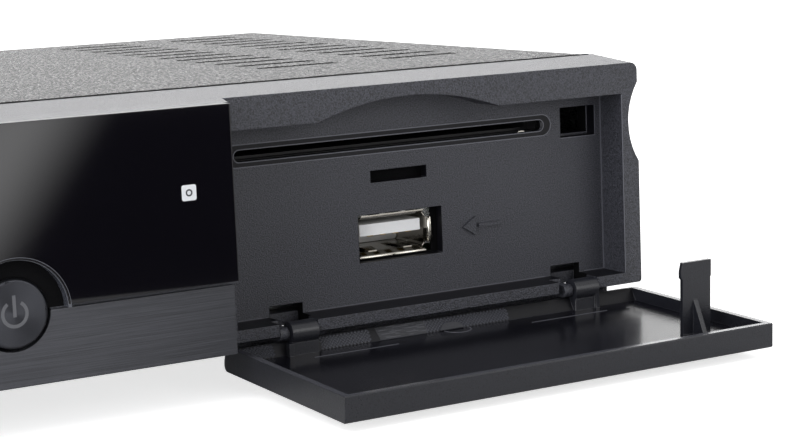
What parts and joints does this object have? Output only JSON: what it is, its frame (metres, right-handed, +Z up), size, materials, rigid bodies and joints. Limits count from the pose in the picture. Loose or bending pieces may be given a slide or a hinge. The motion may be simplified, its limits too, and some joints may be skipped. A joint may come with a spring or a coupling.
{
  "type": "satellite receiver",
  "caption": "Flat set-top receiver with a drop-down flap over card and USB sockets, a dark window, a round power button and vent slots.",
  "frame": {"origin": "middle of the footprint, on the surface that the feet stand on", "axes": "+X along the front to the right as seen from the front, +Y to the rear, +Z up"},
  "size_m": [0.222, 0.1766, 0.0448],
  "materials": {
    "moulded_plastic": "fine moulded texture",
    "window_gloss": "polished",
    "brushed_trim": "brushed along its length, dark",
    "button_metal": "spun, dark",
    "flap_plastic": "satin outside, glossy inside",
    "cover_paint": "wrinkled powder coat",
    "zinc_sheet": "zinc plated",
    "foot_rubber": "matte",
    "black_plastic": "satin",
    "white_plastic": "satin",
    "nickel": "bright nickel plate",
    "gold": "gold flash",
    "board_green": "solder resist",
    "chip_black": "matte",
    "heat_sink_black": "anodised",
    "capacitor_sleeve": "shrink sleeve",
    "screw_steel": "black zinc",
    "copper": "enamelled wire",
    "ferrite": "matte",
    "clear": "clear",
    "lamp_lens": "tinted",
    "smoke_lens": "tinted",
    "cable_grey": "flexible"
  },
  "bodies": {
    "housing": {"front_bezel": "moulded_plastic", "display_window": "window_gloss", "lower_trim": "brushed_trim", "top_cover": "cover_paint", "chassis_tray": "zinc_sheet", "rear_panel": "cover_paint", "feet": "foot_rubber", "main_board": "board_green", "supply_board": "board_green", "heat_sink": "heat_sink_black", "board_capacitors": "capacitor_sleeve", "serial_jack": "black_plastic", "ribbon_cable": "cable_grey", "supply_lead": "cable_grey", "power_switch": "black_plastic", "usb_shell": "nickel", "usb_tongue": "white_plastic", "usb_contacts": "gold", "card_reader": "black_plastic", "card_contacts": "gold", "reader_board": "board_green", "reader_posts": "white_plastic", "front_board": "board_green", "display_module": "smoke_lens", "ir_receiver": "smoke_lens", "standby_led": "lamp_lens", "foot_screws": "screw_steel", "cover_screws": "screw_steel", "board_posts": "screw_steel", "board_screws": "screw_steel", "main_chip": "chip_black", "memory_chips": "chip_black", "tuner_can": "zinc_sheet", "f_connectors": "nickel", "f_insulators": "white_plastic", "f_nuts": "nickel", "hdmi_socket": "nickel", "hdmi_tongue": "black_plastic", "network_jack": "black_plastic", "network_contacts": "gold", "rca_block": "black_plastic", "rca_rings": "nickel", "rca_inserts": "white_plastic", "mains_inlet": "black_plastic", "inlet_pins": "nickel", "rocker_switch": "black_plastic", "transformer_core": "ferrite", "transformer_winding": "copper", "mains_capacitor": "capacitor_sleeve", "supply_heat_sink": "heat_sink_black", "power_transistor": "chip_black", "choke": "copper", "fuse": "clear"},
    "flap": {"flap_door": "flap_plastic"},
    "button": {"power_button": "button_metal", "switch_plunger": "white_plastic"},
    "rocker": {"rear_rocker": "black_plastic"}
  },
  "joints": [
    {"name": "flap_hinge", "type": "hinge", "parent": "housing", "child": "flap", "pos_m": [0.0737, -0.05459, 0.0075], "axis": [-1, 0, 0], "range_deg": [0, 91.6]},
    {"name": "button_press", "type": "slide", "parent": "housing", "child": "button", "axis": [0, 1, 0], "range_m": [0, 0.0005], "stiffness_N_per_m": 1500, "springref_m": -0.0005},
    {"name": "rocker_tilt", "type": "hinge", "parent": "housing", "child": "rocker", "pos_m": [-0.06, 0.07471, 0.0274], "axis": [1, 0, 0], "range_deg": [0, 16]}
  ]
}
